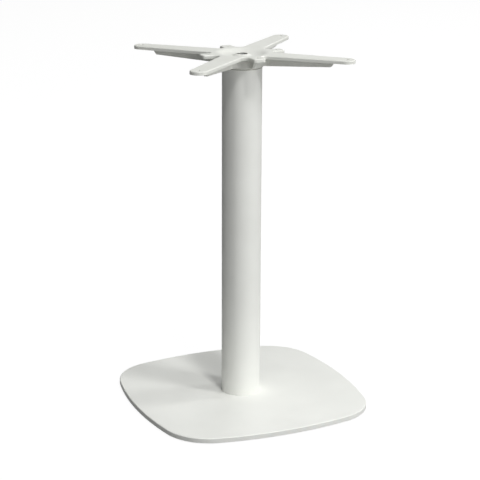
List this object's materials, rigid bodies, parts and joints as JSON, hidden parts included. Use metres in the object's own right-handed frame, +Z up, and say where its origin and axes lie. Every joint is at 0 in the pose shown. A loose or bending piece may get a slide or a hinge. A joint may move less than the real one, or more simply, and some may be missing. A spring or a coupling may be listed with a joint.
{
  "type": "table base",
  "caption": "Pedestal table base: flat rounded-square foot plate, round column and a cast cross-shaped top bracket with drilled arms and lugs.",
  "frame": {"origin": "on the floor, under the column's axis, at the lowest face of the floor pads", "axes": "+Z is up, along the column; +X and +Y run square to the sides of the foot plate, and the spider's arms point half-way between them"},
  "size_m": [0.4648, 0.4648, 0.725],
  "materials": {
    "steel_powder_coat_white": "satin white powder coat on steel",
    "cast_powder_coat_white": "satin white powder coat on an aluminium casting",
    "zinc_plated_steel": "bright zinc plate",
    "black_polyethylene": "matte black"
  },
  "bodies": {
    "root": {"foot_plate": "steel_powder_coat_white", "column_tube": "steel_powder_coat_white", "column_foot_disc": "steel_powder_coat_white", "column_foot_weld": "steel_powder_coat_white", "column_head_disc": "steel_powder_coat_white", "column_head_weld": "steel_powder_coat_white", "spider": "cast_powder_coat_white", "spider_screw": "zinc_plated_steel", "spider_washer": "zinc_plated_steel", "spider_spring_washer": "zinc_plated_steel", "locating_pin_right": "zinc_plated_steel", "locating_pin_left": "zinc_plated_steel", "foot_screw_right": "zinc_plated_steel", "foot_screw_back": "zinc_plated_steel", "foot_screw_left": "zinc_plated_steel", "foot_screw_front": "zinc_plated_steel", "floor_pad_front_left": "black_polyethylene", "floor_pad_back_left": "black_polyethylene", "floor_pad_front_right": "black_polyethylene", "floor_pad_back_right": "black_polyethylene"}
  },
  "joints": []
}
